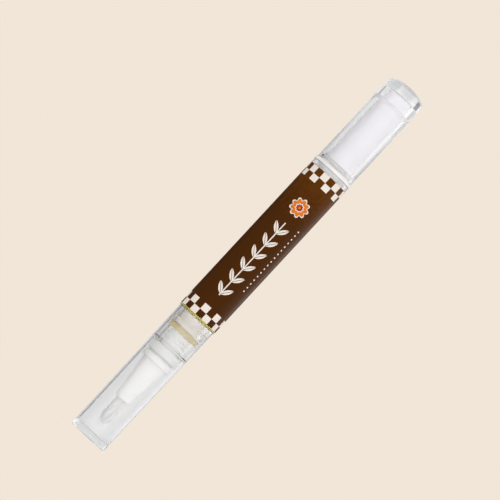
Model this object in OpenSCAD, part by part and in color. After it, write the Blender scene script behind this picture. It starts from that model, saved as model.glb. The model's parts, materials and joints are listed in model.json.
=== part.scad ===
// Twist pen for nail oil, millimetres.
// It stands on the cap's flat closed end at z = 0, with the twist knob at the top.
// From below: cap over brush and neck, barrel with the oil, piston, lead screw and nut,
// then the collar, the crown ratchet and the twist knob with its drive sleeve.

/* [Cap] */
// Wall of the cap
cap_wall = 0.65; // [0.5:0.05:0.8]
// Thickness of the cap's closed end
cap_end_t = 2.0; // [1.2:0.1:3]
// How much narrower the closed end is than the rim, across
cap_taper = 0.3; // [0:0.05:0.5]
// Outer edge radius of the closed end
cap_edge_r = 0.5; // [0.3:0.1:0.8]
// Room between the tip of the tuft and the closed end
tip_room = 3.3; // [1.5:0.1:6]
// Width of the bead inside the cap
cap_bead_w = 0.9; // [0.6:0.1:1.4]
// Height of the cap's bead over the end of the neck
cap_bead_up = 0.1; // [0:0.1:1]

/* [Brush] */
// Length of the tuft outside the ferrule
tuft_len = 8.5; // [7:0.1:11]
// Width of the tuft where it is held
tuft_root_d = 3.6; // [3.2:0.1:3.8]
// Width of the tuft at its belly
tuft_belly_d = 3.7; // [3.4:0.1:4.1]
// How much the tip of the tuft is cut on the slant
tuft_slant = 0.8; // [0.4:0.1:1]
// How much shorter the outermost bristles are than the middle ones
tuft_round = 2.2; // [1.2:0.1:2.4]
// Number of bristles
bristle_count = 300; // [300:10:500]
// Length of the ferrule's cone
cone_len = 13.1; // [11:0.1:16]
// Width of the cone's base
cone_base_d = 7.9; // [7.2:0.1:8.4]
// Wall round the ferrule's mouth
mouth_wall = 0.56; // [0.4:0.02:0.8]
// Thickness of the ferrule's flange
flange_t = 1.9; // [1.2:0.1:2.6]

/* [Plug] */
// Thickness of the plug's head
plug_head_t = 2.8; // [2:0.1:3.6]
// Length of the plug's stem in the neck
plug_stem_len = 5.2; // [4.6:0.1:6.4]
// Number of sealing ribs on the stem
plug_ribs = 3; // [2:1:4]
// Distance from rib to rib
plug_rib_pitch = 1.06; // [0.9:0.02:1.2]
// Outer width of the feed tube
feed_tube_d = 0.9; // [0.8:0.05:1.1]

/* [Barrel] */
// Bore of the barrel
bore_d = 9.6; // [9:0.1:10.4]
// Wall of the barrel
barrel_wall = 1.35; // [1:0.05:1.8]
// Length of the neck
neck_len = 11.3; // [10:0.1:14]
// Outer width of the neck
neck_d = 9.9; // [9.7:0.05:10.4]
// Wall of the neck
neck_wall = 1.15; // [0.9:0.05:1.3]
// Width of the snap bead round the neck
neck_bead_w = 1.5; // [1:0.1:2]
// Height of the neck's snap bead under the shoulder
neck_bead_down = 3.2; // [2.6:0.1:4]
// Length of the oil caught in front of the air bubble
oil_band_len = 1.8; // [1.2:0.1:2.4]

/* [Label] */
// Thickness of the printed film
film_t = 0.06; // [0.04:0.01:0.12]
// Bare barrel between the shoulder and the film
film_low_gap = 0.65; // [0.3:0.05:1.5]
// Bare barrel between the film and the collar
film_high_gap = 1.5; // [0.6:0.1:3]

/* [Drive] */
// Travel of the piston
stroke = 28; // [20:1:32]
// Climb of the screw's thread in one turn
thread_lead = 2; // [1.6:0.1:2.6]
// Outer width of the screw's thread
screw_d = 4.4; // [4:0.1:4.8]
// Depth of the thread
thread_depth = 0.5; // [0.4:0.05:0.6]
// Width across the screw's two flats
screw_flats = 3.2; // [2.9:0.1:3.4]
// Length of the piston
piston_len = 7; // [6:0.5:9]
// Thickness of the nut
nut_len = 6; // [5:0.5:8]
// Length of the keyed hole that turns the screw
key_len = 5; // [4:0.5:7]
// Number of ratchet teeth
ratchet_teeth = 12; // [8:1:16]
// Height of the ratchet teeth
ratchet_tooth_h = 0.45; // [0.3:0.05:0.6]
// Length of the ratchet's spring
ratchet_spring_len = 3.6; // [3:0.1:5]

/* [Collar] */
// Length of the collar in the barrel
spigot_len = 10.7; // [9:0.1:14]
// Thickness of the collar's flange
collar_flange_t = 1; // [0.8:0.1:1.6]
// How far the flange stands out past the barrel
collar_flange_out = 0.2; // [0:0.05:0.5]
// Length of the journal above the collar's flange
journal_len = 4.9; // [4:0.1:6]
// Wall of the journal
journal_wall = 0.6; // [0.5:0.05:0.7]

/* [Knob] */
// Outer width of the twist knob
knob_d = 12.04; // [11.6:0.02:13]
// Wall of the knob
knob_wall = 1.47; // [1.2:0.01:1.7]
// Thickness of the knob's closed end
knob_end_t = 3.7; // [3:0.1:5]
// Corner radius of the knob's end
knob_corner_r = 1.7; // [1:0.1:2.2]
// Radius of the dome on the knob's end
knob_dome_r = 14; // [9:0.5:30]
// Wall of the drive sleeve
sleeve_wall = 0.75; // [0.6:0.05:0.9]
// Thickness of the web inside the drive sleeve
web_t = 1.2; // [0.8:0.1:2]

/* [Hidden] */
$fn = 96;
// Gap round parts that turn or slide
fit_gap = 0.08;
// Gap round parts that are pushed together for good
seat_gap = 0.02;
// Gap round the piston's lips
seal_gap = 0.03;
// Overrun of cuts
cut_over = 0.2;
// Edge break on moulded edges
edge_break = 0.15;
// Steps in a quarter round
arc_steps = 6;
// Steps in a meniscus or a dome
curve_steps = 8;

// Places along the pen, from the cap's closed end up
tip_z = cap_end_t + tip_room;
mouth_z = tip_z + tuft_len;
flange_z = mouth_z + cone_len;
waist_z = flange_z + flange_t;
waist_t = 0.45;
plug_z = waist_z + waist_t + seat_gap;
neck_z = plug_z + plug_head_t + seat_gap;
shoulder_z = neck_z + neck_len;
rim_gap = 0.05;
cap_rim_z = shoulder_z - rim_gap;
stem_end_z = neck_z + plug_stem_len;

// Barrel
bore_r = bore_d / 2;
barrel_r = bore_r + barrel_wall;
neck_r = neck_d / 2;
neck_bore_r = neck_r - neck_wall;
// Depth of the oil band's hollow face as a share of the band's length
meniscus_share = 0.25;
// Height of the cone between the neck's bore and the barrel's bore
throat_len = 1.2;
throat_z = shoulder_z - throat_len / 2;
front_z = throat_z + throat_len;
// Room between the piston at its front stop and the throat
front_room = 0.4;
piston_front_z = front_z + front_room + stroke;
piston_rear_z = piston_front_z + piston_len;
nut_room = 1;
nut_z = piston_rear_z + nut_room;
nut_top_z = nut_z + nut_len;
spigot_z = nut_top_z + seat_gap;
barrel_top_z = spigot_z + spigot_len;
// Step in the bore that the nut rests on
seat_step = 0.1;
seat_r = bore_r + seat_step;
barrel_edge_r = 0.25;

// Cap, which clears the neck by its side room
neck_room = 0.35;
cap_rim_in_r = neck_r + neck_room;
cap_rim_r = cap_rim_in_r + cap_wall;
cap_end_r = cap_rim_r - cap_taper / 2;
cap_inner_corner_r = 0.7;
cap_bead_z = neck_z + cap_bead_up + cap_bead_w / 2;
neck_bead_z = shoulder_z - neck_bead_down;

// Ferrule
tuft_root_r = tuft_root_d / 2;
socket_r = tuft_root_r + seat_gap * 2;
mouth_r = socket_r + mouth_wall;
cone_base_r = cone_base_d / 2;
flange_set_in = 0.15;
flange_r = neck_r - flange_set_in;
waist_set_in = 0.5;
waist_r = flange_r - waist_set_in;
socket_depth = 5;
// The cone's slope changes at this share of its length, where it has this share of its growth
cone_bend_shares = [0.7, 0.62];
ferrule_spigot_r = 2.6;
ferrule_spigot_len = 4.6;
lip_r = 0.3;

// Plug
plug_stem_in = 0.3;
plug_stem_r = neck_bore_r - plug_stem_in;
plug_rib_r = neck_bore_r - seat_gap;
plug_first_rib = 1.2;
plug_rib_w = 0.5;
// The barbed side of a rib is this share of its width
rib_barb_share = 0.2;
feed_r = feed_tube_d / 2;
feed_wall = 0.2;
feed_hole_r = feed_r + seat_gap;
feed_below_mouth = 1.2;

// Screw, nut and key
screw_r = screw_d / 2;
core_r = screw_r - thread_depth;
flat_half = screw_flats / 2;
key_r = screw_r + fit_gap;
key_half = flat_half + fit_gap;
tail_room = 1;
tail_z = nut_top_z + tail_room;
key_top_z = tail_z + key_len;
screw_spare = 1.5;
screw_top_z = key_top_z + stroke + screw_spare;
// Shares of the lead that the thread is wide at its root and at its crest
ridge_root_share = 0.52;
ridge_crest_share = 0.28;
ridge_sink = 0.12;
turn_steps = 20;
// Plain part of the nut at either end of its thread
nut_thread_low = 1;
nut_turns = (nut_len - nut_thread_low * 2) / thread_lead;

// Piston
lip_w = 1.4;
piston_waist_in = 0.5;
core_wall = 1.1;
core_front_t = 1.8;
screw_head_r = 1.75;
screw_head_t = 1.0;
screw_neck_r = 1.15;
screw_neck_room = 0.3;
snap_in = 0.3;
insert_r = screw_head_r + fit_gap + core_wall;
head_z = piston_front_z + core_front_t + seat_gap + core_wall + fit_gap;
insert_z = piston_front_z + core_front_t + seat_gap;
screw_neck_top_z = piston_rear_z + screw_neck_room;
thread_z = screw_neck_top_z + thread_lead * ridge_root_share / 2 + edge_break;

// Collar, journal and sleeve, worked out from the knob inwards
knob_r = knob_d / 2;
knob_bore_r = knob_r - knob_wall;
sleeve_r = knob_bore_r - seat_gap;
sleeve_in_r = sleeve_r - sleeve_wall;
journal_r = sleeve_in_r - fit_gap;
collar_bore_r = journal_r - journal_wall;
tail_r = collar_bore_r - fit_gap;
collar_flange_r = barrel_r + collar_flange_out;
flange_bottom_z = barrel_top_z + seat_gap;
flange_top_z = flange_bottom_z + collar_flange_t;
journal_top_z = flange_top_z + journal_len;
knob_z = flange_top_z + fit_gap;
// Snap bead of the collar and the groove in the knob
snap_bead_out = 0.45;
snap_low = 0.45;
snap_w = 0.8;
snap_r = knob_bore_r + snap_bead_out;
stub_r = knob_bore_r - fit_gap;
stub_top_z = knob_z + snap_low + snap_w + snap_low;

// Ratchet and spring
tooth_pitch = 360 / ratchet_teeth;
tooth_gap = 0.05;
tooth_play = 2;
tooth_crest_share = 0.92;
tooth_crest_h = ratchet_tooth_h * tooth_crest_share;
spring_r = journal_r;
spring_in_r = collar_bore_r;
spring_z = journal_top_z + tooth_gap;
spring_ring_z = spring_z + ratchet_tooth_h;
spring_ring_t = 0.9;
spring_top_z = spring_ring_z + spring_ring_t * 2 + ratchet_spring_len;
spring_rows = 3;
spring_slot_angle = 136;
spring_slot_share = 0.5;
// Two keys of the spring that slide in the sleeve's keyways
key_w = 1.2;
key_out = 0.35;
web_z = spring_top_z + seat_gap;

// Drive sleeve and knob end
sleeve_z = stub_top_z + fit_gap;
sleeve_end_room = 2.2;
sleeve_end_t = 0.8;
sleeve_in_top_z = screw_top_z + sleeve_end_room;
sleeve_top_z = sleeve_in_top_z + sleeve_end_t;
step_in = 0.55;
step_len = 1.1;
step_down = 4.4;
step_z = sleeve_top_z - step_down;
knob_in_top_z = sleeve_top_z + seat_gap;
knob_top_z = knob_in_top_z + knob_end_t;

// Label
film_r = barrel_r + seat_gap;
film_z = shoulder_z + film_low_gap;
film_top_z = barrel_top_z - film_high_gap;

// Tuft: strands on a sunflower spiral, alike in angle all the way down
slice_t = 1.2;
slice_z = mouth_z + socket_depth - slice_t - seat_gap;
strand_r = 0.045;
strand_sides = 3;
strand_sink = 0.3;
// A strand's tip is this share of its width
strand_tip_share = 0.6;
slice_fn = 36;
tuft_in_r = feed_r + 0.06;
golden_angle = 137.508;
// Belly height above the tip as a share of the free length, and the tip's width as a share
belly_share = 0.42;
tuft_tip_share = 0.86;
// The tuft is this much wider across X than along Y
oval_share = 1.03;
strands_r = (tuft_root_r - strand_r - seat_gap) / oval_share;

// Colours of the plastics, the print and the oil
clear = [0.93, 0.94, 0.95, 0.4];
frosted = [0.95, 0.95, 0.97];
natural = [0.9, 0.92, 0.93, 0.8];
acetal = [0.92, 0.92, 0.9];
bristle_grey = [0.84, 0.83, 0.82];
print_brown = [0.29, 0.15, 0.05];
oil_yellow = [0.85, 0.77, 0.42, 0.7];

// Points of an arc about a centre, from one angle to another
function arc(centre, r, from, to, steps = arc_steps) = [
    for (i = [0:steps]) let (a = from + (to - from) * i / steps)
        centre + r * [cos(a), sin(a)]
];

// Inner and outer radius of the tapered cap at a height
function cap_r_at(z) = cap_end_r + (cap_rim_r - cap_end_r) * z / cap_rim_z;
function cap_in_r_at(z) = cap_r_at(z) - cap_wall;

module ring(r_out, r_in, z, h) {
    translate([0, 0, z]) rotate_extrude()
        translate([r_in, 0]) square([r_out - r_in, h]);
}

// A rod of round section with two flats across X
module flatted_rod(r, half, z, h) {
    translate([0, 0, z]) linear_extrude(h) intersection() {
        circle(r);
        square([half * 2, r * 2 + cut_over], center = true);
    }
}

// One unbroken thread ridge, with its section in radius and height
module thread_ridge(section, z, turns) {
    corners = len(section);
    rings = floor(turns * turn_steps);
    points = [
        for (i = [0:rings], p = section) let (a = i * 360 / turn_steps)
            [p[0] * cos(a), p[0] * sin(a), z + p[1] + thread_lead * a / 360]
    ];
    sides = [
        for (i = [0:rings - 1], j = [0:corners - 1])
            let (k = (j + 1) % corners, a = i * corners, b = a + corners)
                each [[a + j, b + k, a + k], [a + j, b + j, b + k]]
    ];
    ends = [
        [for (j = [0:corners - 1]) j],
        [for (j = [corners - 1:-1:0]) rings * corners + j]
    ];
    polyhedron(points, concat(sides, ends), convexity = 10);
}

module cap() {
    color(clear) rotate_extrude() polygon(concat(
        [[0, 0]],
        arc([cap_end_r - cap_edge_r, cap_edge_r], cap_edge_r, -90, 0),
        [[cap_rim_r, cap_rim_z - edge_break * 2],
         [cap_rim_r - edge_break * 2, cap_rim_z],
         [cap_rim_in_r + edge_break, cap_rim_z],
         [cap_rim_in_r, cap_rim_z - edge_break * 2]],
        cap_bead(),
        arc([cap_in_r_at(cap_end_t) - cap_inner_corner_r, cap_end_t + cap_inner_corner_r],
            cap_inner_corner_r, 0, -90),
        [[0, cap_end_t]]
    ));
}

// Half round bead inside the cap, which runs on the neck with the running gap
function cap_bead() = let (
    wall_r = cap_in_r_at(cap_bead_z),
    tall = wall_r - neck_r - fit_gap
) [
    for (i = [0:arc_steps * 2]) let (a = 90 - 180 * i / (arc_steps * 2))
        [wall_r - tall * cos(a), cap_bead_z + cap_bead_w / 2 * sin(a)]
];

// Width factor of the tuft at a height above its tip
function tuft_width(z) = let (
    belly_z = tuft_len * belly_share,
    belly = tuft_belly_d / tuft_root_d
) z < belly_z
    ? belly * (tuft_tip_share + (1 - tuft_tip_share) * z / belly_z)
    : 1 + (belly - 1) * max(0, (tuft_len - z) / (tuft_len - belly_z));

// How far from the axis a strand is held
function strand_place(n) = sqrt(tuft_in_r * tuft_in_r
    + (strands_r * strands_r - tuft_in_r * tuft_in_r) * (n + 0.5) / bristle_count);

// One strand: a ring of corners at each height, from its tip up into the backing slice
module strand(n) {
    angle = n * golden_angle;
    place_r = strand_place(n);
    share = place_r / strands_r;
    low = max(0, tuft_round * pow(share, 3) - tuft_slant * share * cos(angle) / 2);
    heights = [low, tuft_len * belly_share, tuft_len, slice_z - tip_z + strand_sink];
    rings = len(heights);
    points = [
        for (i = [0:rings - 1], j = [0:strand_sides - 1]) let (
            s = tuft_width(heights[i]),
            thick = i == 0 ? strand_r * strand_tip_share : strand_r,
            a = angle + j * 360 / strand_sides
        ) [
            s * place_r * cos(angle) + thick * cos(a),
            s * place_r * sin(angle) + thick * sin(a),
            tip_z + heights[i]
        ]
    ];
    sides = [
        for (i = [0:rings - 2], j = [0:strand_sides - 1])
            let (k = (j + 1) % strand_sides, a = i * strand_sides, b = a + strand_sides)
                each [[a + j, b + k, a + k], [a + j, b + j, b + k]]
    ];
    ends = [
        [for (j = [0:strand_sides - 1]) j],
        [for (j = [strand_sides - 1:-1:0]) (rings - 1) * strand_sides + j]
    ];
    polyhedron(points, concat(sides, ends), convexity = 4);
}

// The bristles are set round, and the whole tuft is then made a little oval
module brush_bristles() {
    belly = tuft_width(tuft_len * belly_share);
    reaches = [
        for (n = [0:bristle_count - 1], j = [0:strand_sides - 1]) let (a = n * golden_angle)
            belly * strand_place(n) * cos(a) + strand_r * cos(a + j * 360 / strand_sides)
    ];
    half = tuft_root_r / oval_share;
    width = max(half, max(reaches)) + max(half, -min(reaches));
    color(bristle_grey) resize([width * oval_share, 0, 0]) union() {
        for (n = [0:bristle_count - 1]) strand(n);
        translate([0, 0, slice_z]) scale([1 / oval_share, 1, 1]) difference() {
            cylinder(slice_t, r = tuft_root_r, $fn = slice_fn);
            translate([0, 0, -cut_over])
                cylinder(slice_t + cut_over * 2, r = feed_r + seat_gap * 2, $fn = slice_fn / 2);
        }
    }
}

module brush_ferrule() {
    bend_r = mouth_r + (cone_base_r - mouth_r) * cone_bend_shares[1];
    bend_z = mouth_z + cone_len * cone_bend_shares[0];
    socket_z = mouth_z + socket_depth;
    color(frosted) rotate_extrude() polygon(concat(
        arc([mouth_r - lip_r, mouth_z + lip_r], lip_r, -90, 0),
        [[bend_r, bend_z], [cone_base_r, flange_z]],
        arc([flange_r - edge_break, flange_z + edge_break], edge_break, -90, 0),
        arc([flange_r - edge_break, waist_z - edge_break], edge_break, 0, 90),
        [[waist_r, waist_z], [waist_r, waist_z + waist_t],
         [ferrule_spigot_r, waist_z + waist_t],
         [ferrule_spigot_r, waist_z + waist_t + ferrule_spigot_len - edge_break],
         [ferrule_spigot_r - edge_break, waist_z + waist_t + ferrule_spigot_len],
         [feed_hole_r, waist_z + waist_t + ferrule_spigot_len],
         [feed_hole_r, socket_z],
         [socket_r, socket_z],
         [socket_r, mouth_z]]
    ));
}

module feed_tube() {
    low_z = mouth_z + feed_below_mouth;
    color(natural) ring(feed_r, feed_r - feed_wall, low_z, stem_end_z - low_z);
}

// The plug's profile from the head's lower face, with barbed ribs on its stem
module neck_plug() {
    pocket_top = plug_z + ferrule_spigot_len + seat_gap * 2;
    pocket_r = ferrule_spigot_r + seat_gap;
    color(natural) rotate_extrude() polygon(concat(
        [[pocket_r, plug_z]],
        arc([neck_r - edge_break, plug_z + edge_break], edge_break, -90, 0),
        arc([neck_r - edge_break, plug_z + plug_head_t - edge_break], edge_break, 0, 90),
        [[plug_stem_r, plug_z + plug_head_t]],
        [for (i = [0:plug_ribs - 1])
            let (z = neck_z + plug_first_rib + i * plug_rib_pitch)
                each [[plug_stem_r, z], [plug_rib_r, z + plug_rib_w * rib_barb_share],
                      [plug_rib_r, z + plug_rib_w / 2], [plug_stem_r, z + plug_rib_w]]],
        [[plug_stem_r, stem_end_z - edge_break],
         [plug_stem_r - edge_break, stem_end_z],
         [feed_hole_r, stem_end_z],
         [feed_hole_r, pocket_top],
         [pocket_r, pocket_top]]
    ));
}

module barrel() {
    bead_r = cap_in_r_at(neck_bead_z) - fit_gap;
    color(clear) rotate_extrude() polygon(concat(
        [[neck_bore_r + edge_break, neck_z], [neck_r - edge_break * 2, neck_z],
         [neck_r, neck_z + edge_break * 2]],
        [for (i = [0:arc_steps * 2]) let (a = -90 + 180 * i / (arc_steps * 2))
            [neck_r + (bead_r - neck_r) * cos(a), neck_bead_z + neck_bead_w / 2 * sin(a)]],
        [[neck_r, shoulder_z]],
        arc([barrel_r - barrel_edge_r, shoulder_z + barrel_edge_r], barrel_edge_r, -90, 0),
        [[barrel_r, barrel_top_z - edge_break], [barrel_r - edge_break, barrel_top_z],
         [seat_r + edge_break, barrel_top_z], [seat_r, barrel_top_z - edge_break],
         [seat_r, nut_z - seat_gap], [bore_r, nut_z - seat_gap],
         [bore_r, front_z], [neck_bore_r, throat_z],
         [neck_bore_r, neck_z + edge_break]]
    ));
}

module label_film() {
    color(print_brown) ring(film_r + film_t, film_r, film_z, film_top_z - film_z);
}

// Hollow face of the oil against the air bubble
function meniscus(r, z, deep) = [
    for (i = [0:curve_steps]) let (x = r * (1 - i / curve_steps))
        [x, z - deep * (1 - pow(x / r, 2))]
];

module oil_band() {
    r = neck_bore_r - seat_gap;
    low_z = stem_end_z + seat_gap;
    color(oil_yellow) rotate_extrude() polygon(concat(
        [[0, low_z], [r, low_z]], meniscus(r, low_z + oil_band_len, oil_band_len * meniscus_share)
    ));
}

module oil_fill() {
    throat_low_r = neck_bore_r + (bore_r - neck_bore_r) * (shoulder_z - throat_z) / throat_len;
    color(oil_yellow) rotate_extrude() polygon([
        [0, shoulder_z], [throat_low_r - seat_gap, shoulder_z],
        [bore_r - seat_gap, front_z],
        [bore_r - seat_gap, piston_front_z - seat_gap],
        [0, piston_front_z - seat_gap]
    ]);
}

module piston() {
    r = bore_r - seal_gap;
    waist = bore_r - piston_waist_in;
    nose_r = neck_bore_r - piston_waist_in;
    color(acetal) rotate_extrude() polygon([
        [0, piston_front_z], [nose_r, piston_front_z],
        [r - edge_break, piston_front_z + front_room],
        [r, piston_front_z + front_room + edge_break],
        [r, piston_front_z + lip_w], [waist, piston_front_z + lip_w + edge_break],
        [waist, piston_rear_z - lip_w - edge_break], [r, piston_rear_z - lip_w],
        [r, piston_rear_z - edge_break], [r - edge_break, piston_rear_z],
        [insert_r + seat_gap, piston_rear_z],
        [insert_r + seat_gap, insert_z - seat_gap],
        [0, insert_z - seat_gap]
    ]);
}

// Stiff insert with a pocket that the screw's head snaps into and turns in
module piston_core() {
    pocket_r = screw_head_r + fit_gap;
    pocket_z = head_z - fit_gap;
    pocket_top_z = head_z + screw_head_t + fit_gap;
    mouth = screw_neck_r + snap_in;
    color(acetal) rotate_extrude() polygon([
        [0, insert_z], [insert_r, insert_z], [insert_r, piston_rear_z],
        [pocket_r, piston_rear_z], [mouth, pocket_top_z + snap_in],
        [mouth, pocket_top_z], [pocket_r, pocket_top_z],
        [pocket_r, pocket_z], [0, pocket_z]
    ]);
}

module lead_screw() {
    neck_top_z = screw_neck_top_z;
    root_half = thread_lead * ridge_root_share / 2;
    crest_half = thread_lead * ridge_crest_share / 2;
    turns = (screw_top_z - thread_z - root_half - edge_break) / thread_lead;
    color(acetal) {
        translate([0, 0, head_z]) cylinder(screw_head_t, r = screw_head_r);
        translate([0, 0, head_z]) cylinder(neck_top_z - head_z + edge_break, r = screw_neck_r);
        intersection() {
            union() {
                translate([0, 0, neck_top_z]) cylinder(screw_top_z - neck_top_z, r = core_r);
                thread_ridge([
                    [core_r - ridge_sink, root_half], [screw_r, crest_half],
                    [screw_r, -crest_half], [core_r - ridge_sink, -root_half]
                ], thread_z, turns);
            }
            translate([-flat_half, -screw_d, neck_top_z - cut_over])
                cube([screw_flats, screw_d * 2, screw_top_z - neck_top_z + cut_over * 2]);
        }
    }
}

// Fixed nut: its thread fills the screw's grooves, less the running gap
module screw_nut() {
    hole_r = key_r;
    crest_r = core_r + fit_gap;
    first_half = thread_lead * (1 - ridge_root_share) / 2 - fit_gap;
    root_half = thread_lead * (1 - ridge_crest_share) / 2 - fit_gap;
    low = nut_z + nut_thread_low;
    turned = 360 * (low - thread_z - thread_lead / 2) / thread_lead;
    color(acetal) union() {
        ring(seat_r - seat_gap, hole_r, nut_z, nut_len);
        rotate([0, 0, turned]) thread_ridge([
            [crest_r, first_half], [hole_r + ridge_sink, root_half],
            [hole_r + ridge_sink, -root_half], [crest_r, -first_half]
        ], low, nut_turns);
    }
}

// One pitch of the crown ratchet, above or below the slope of its tooth.
// The tooth is highest at angle 0 and falls away against the turn.
module tooth_pie(z, above, play = 0) {
    far = journal_r * 2;
    slope = atan(ratchet_tooth_h / (journal_r * tooth_pitch * PI / 180));
    intersection() {
        translate([0, 0, z - ratchet_tooth_h]) linear_extrude(ratchet_tooth_h * 3)
            polygon([
                [0, 0], far * [cos(play), -sin(play)], far * [cos(tooth_pitch), sin(tooth_pitch)]
            ]);
        translate([0, 0, z + ratchet_tooth_h]) rotate([-slope, 0, 0])
            translate([-far, -far, above ? 0 : -far]) cube([far * 2, far * 2, far]);
    }
}

module crown_cut(z, above, play = 0) {
    for (i = [0:ratchet_teeth - 1]) rotate([0, 0, (i + 0.5) * tooth_pitch])
        tooth_pie(z, above, play);
}

module collar() {
    color(clear) difference() {
        rotate_extrude() polygon(concat(
            [[collar_bore_r, spigot_z], [seat_r - seat_gap - edge_break, spigot_z],
             [seat_r - seat_gap, spigot_z + edge_break * 2],
             [seat_r - seat_gap, flange_bottom_z]],
            arc([collar_flange_r - edge_break, flange_bottom_z + edge_break],
                edge_break, -90, 0),
            arc([collar_flange_r - edge_break, flange_top_z - edge_break],
                edge_break, 0, 90),
            [[stub_r, flange_top_z], [stub_r, knob_z + snap_low],
             [snap_r - fit_gap, knob_z + snap_low + snap_w / 4],
             [snap_r - fit_gap, knob_z + snap_low + snap_w / 2],
             [stub_r, knob_z + snap_low + snap_w],
             [stub_r, stub_top_z], [journal_r, stub_top_z],
             [journal_r, journal_top_z + tooth_crest_h],
             [collar_bore_r, journal_top_z + tooth_crest_h]]
        ));
        crown_cut(journal_top_z, above = true);
    }
}

module ratchet_spring() {
    row_h = ratchet_spring_len / spring_rows;
    slot_h = row_h * spring_slot_share;
    color(acetal) difference() {
        union() {
            ring(spring_r, spring_in_r, spring_z, spring_top_z - spring_z);
            for (a = [0, 180]) rotate([0, 0, a])
                translate([spring_in_r + edge_break, -key_w / 2, spring_ring_z])
                    cube([spring_r + key_out - spring_in_r - edge_break, key_w, spring_ring_t]);
        }
        crown_cut(spring_z, above = false, play = tooth_play);
        for (row = [0:spring_rows - 1], a = [0, 180])
            translate([0, 0, spring_ring_z + spring_ring_t + row_h * (row + 0.5) - slot_h / 2])
                rotate([0, 0, a + row % 2 * 90])
                    rotate_extrude(angle = spring_slot_angle)
                        translate([spring_in_r - cut_over, 0])
                            square([spring_r - spring_in_r + cut_over * 2, slot_h]);
    }
}

module drive_sleeve() {
    neck_in_r = sleeve_in_r - step_in;
    way_r = spring_r + key_out + fit_gap;
    color(frosted) difference() {
        rotate_extrude() polygon([
            [tail_r, tail_z], [tail_r, web_z], [sleeve_in_r, web_z],
            [sleeve_in_r, sleeve_z], [sleeve_r, sleeve_z],
            [sleeve_r, step_z], [sleeve_r - step_in, step_z + step_len],
            [sleeve_r - step_in, sleeve_top_z], [0, sleeve_top_z],
            [0, sleeve_in_top_z], [neck_in_r, sleeve_in_top_z],
            [neck_in_r, step_z + step_len], [sleeve_in_r, step_z],
            [sleeve_in_r, web_z + web_t], [0, web_z + web_t], [0, tail_z]
        ]);
        flatted_rod(key_r, key_half, tail_z - cut_over, key_len + cut_over * 2);
        translate([0, 0, key_top_z]) cylinder(web_z + web_t - key_top_z + cut_over, r = key_r);
        for (a = [0, 180]) rotate([0, 0, a])
            translate([0, -key_w / 2 - fit_gap, sleeve_z - cut_over])
                intersection() {
                    cube([way_r, key_w + fit_gap * 2, web_z - sleeve_z + cut_over]);
                    translate([sleeve_in_r - cut_over, 0, 0])
                        cube([way_r, key_w + fit_gap * 2, web_z - sleeve_z + cut_over]);
                }
    }
}

// Closed end of the knob: the corner's arc runs on into the dome's arc
function knob_end() = let (
    across = knob_r - knob_corner_r,
    up = sqrt(pow(knob_dome_r - knob_corner_r, 2) - across * across),
    dome_z = knob_top_z - knob_dome_r,
    join = atan2(up, across)
) concat(
    arc([across, dome_z + up], knob_corner_r, 0, join),
    arc([0, dome_z], knob_dome_r, join, 90, curve_steps)
);

module knob_shell() {
    step_r = knob_bore_r - step_in;
    groove_z = knob_z + snap_low - fit_gap;
    color(clear) rotate_extrude() polygon(concat(
        [[knob_bore_r + edge_break, knob_z], [knob_r - edge_break, knob_z],
         [knob_r, knob_z + edge_break]],
        knob_end(),
        [[0, knob_in_top_z], [step_r, knob_in_top_z], [step_r, step_z + step_len],
         [knob_bore_r, step_z],
         [knob_bore_r, groove_z + snap_w + fit_gap * 2],
         [snap_r, groove_z + snap_w / 2 + fit_gap * 2],
         [snap_r, groove_z + snap_w / 4],
         [knob_bore_r, groove_z]]
    ));
}

cap();
brush_bristles();
brush_ferrule();
feed_tube();
neck_plug();
barrel();
label_film();
oil_band();
oil_fill();
piston();
piston_core();
lead_screw();
screw_nut();
collar();
ratchet_spring();
drive_sleeve();
knob_shell();
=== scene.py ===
import json
import math
import random

import bpy
from mathutils import Matrix, Vector


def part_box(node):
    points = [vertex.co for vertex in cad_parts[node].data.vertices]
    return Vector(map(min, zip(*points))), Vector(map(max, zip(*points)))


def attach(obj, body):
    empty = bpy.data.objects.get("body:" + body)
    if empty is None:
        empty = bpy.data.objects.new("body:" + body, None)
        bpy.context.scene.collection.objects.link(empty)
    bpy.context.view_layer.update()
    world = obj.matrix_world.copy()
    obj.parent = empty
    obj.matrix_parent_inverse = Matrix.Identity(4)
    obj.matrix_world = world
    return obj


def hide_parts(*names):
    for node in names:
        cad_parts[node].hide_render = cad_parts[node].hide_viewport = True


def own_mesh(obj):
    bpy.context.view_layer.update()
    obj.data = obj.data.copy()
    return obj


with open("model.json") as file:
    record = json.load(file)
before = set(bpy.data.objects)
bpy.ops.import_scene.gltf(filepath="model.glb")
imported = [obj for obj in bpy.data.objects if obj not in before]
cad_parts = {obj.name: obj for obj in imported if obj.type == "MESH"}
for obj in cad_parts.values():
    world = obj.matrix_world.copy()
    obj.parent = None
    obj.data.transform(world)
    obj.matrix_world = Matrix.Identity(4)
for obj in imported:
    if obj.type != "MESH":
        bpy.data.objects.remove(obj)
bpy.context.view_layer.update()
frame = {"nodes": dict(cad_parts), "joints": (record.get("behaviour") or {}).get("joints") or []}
bpy.ops.object.select_all(action="DESELECT")

# Studio: a long lens a metre away, a little below the pen's middle, rolled so
# that the upright pen runs from lower left to upper right. The backdrop is
# beige, and the light is a white tent that is darker behind the pen and on its left.

mm = 0.001
backdrop = (0.880, 0.790, 0.687)
lens_long = 274.5
sensor_wide = 36
picture_wide = 500
camera_away = 1030 * mm
camera_low = math.radians(3.1)
roll = math.radians(47.19)
pen_middle = Vector((0, 0, 64.25 * mm))
# The camera is moved off the pen's middle by so many pixels of the picture
right_pixels = 0.95
up_pixels = 12.36

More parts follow.
